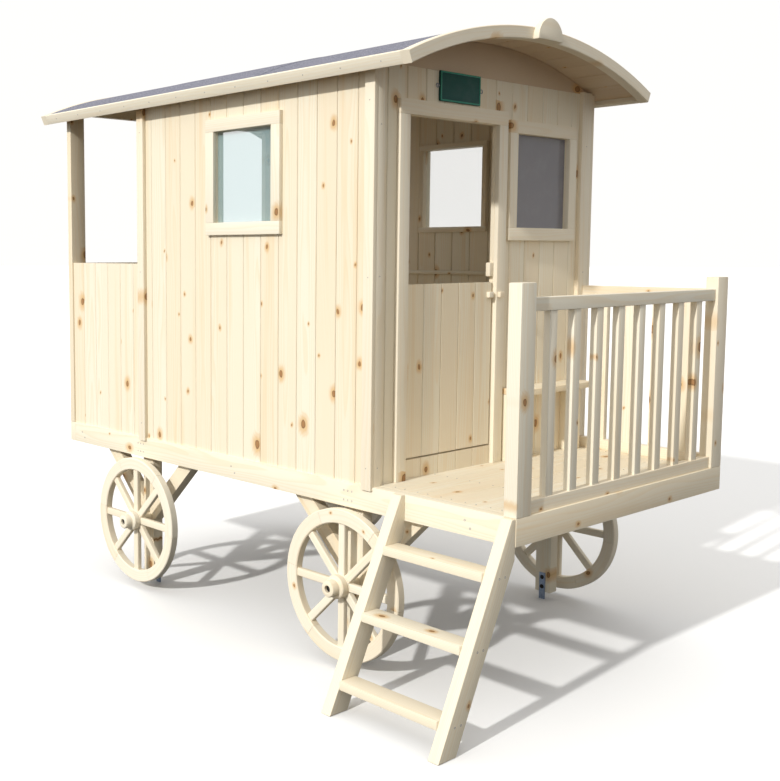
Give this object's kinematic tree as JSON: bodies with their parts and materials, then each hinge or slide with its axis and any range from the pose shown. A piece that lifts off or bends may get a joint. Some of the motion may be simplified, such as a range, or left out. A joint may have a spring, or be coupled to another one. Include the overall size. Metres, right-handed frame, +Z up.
{
  "type": "children's playhouse shaped as a shepherds hut wagon",
  "caption": "Raised wooden children's playhouse like a shepherds hut: barrel roof, fixed spoked wheels, railed porch, ladder, half door and an open rear bay.",
  "frame": {"origin": "middle of the footprint on the ground", "axes": "+Z up, +Y from the porch end towards the open rear bay, +X to the side away from the ladder"},
  "size_m": [1.6148, 2.443, 2.131],
  "materials": {
    "pine": "planed, untreated",
    "roofing_felt": "mineral felt",
    "sign_board": "matt",
    "window_pane": "tinted clear",
    "galvanised_steel": "galvanised"
  },
  "bodies": {
    "hut": {"barge_front": "pine", "barge_rear": "pine", "bay_parapets": "pine", "bench_legs": "pine", "bench_seat": "pine", "chassis_rail_left": "pine", "chassis_rail_right": "pine", "chassis_rim_front": "pine", "chassis_rim_rear": "pine", "corner_trims": "pine", "deck_floor": "pine", "door_casing_head": "pine", "door_casing_sides": "pine", "door_threshold": "pine", "eave_fascias": "pine", "floor_joists": "pine", "front_gable": "pine", "front_gable_arch": "pine", "front_wall_left": "pine", "front_wall_right": "pine", "gable_corner_boards": "pine", "ground_anchors": "galvanised_steel", "hinge_pins": "galvanised_steel", "ladder_stringers": "pine", "ladder_treads": "pine", "latch_keep_and_stop": "pine", "leg_braces": "pine", "legs": "pine", "porch_posts": "pine", "railing_front": "pine", "railing_side": "pine", "rear_gable_arch": "pine", "rear_parapet": "pine", "rear_posts": "pine", "roof_boards": "pine", "roof_disc": "pine", "roof_felt": "roofing_felt", "sign_plate": "sign_board", "wall_battens": "pine", "wall_left": "pine", "wall_right": "pine", "wheel_axles": "pine", "wheel_front_left": "pine", "wheel_front_right": "pine", "wheel_hubs": "pine", "wheel_rear_left": "pine", "wheel_rear_right": "pine", "window_frame_front": "pine", "window_frames_side": "pine", "window_glass": "window_pane", "window_inner_frames": "pine"},
    "half_door": {"door_leaf": "pine", "door_ledges": "pine", "door_latch": "pine", "hinge_barrels": "galvanised_steel"}
  },
  "joints": [
    {"name": "door_hinge", "type": "hinge", "parent": "hut", "child": "half_door", "pos_m": [-0.32161, -0.635, 0.9], "axis": [0, 0, 1], "range_deg": [0, 95]}
  ]
}
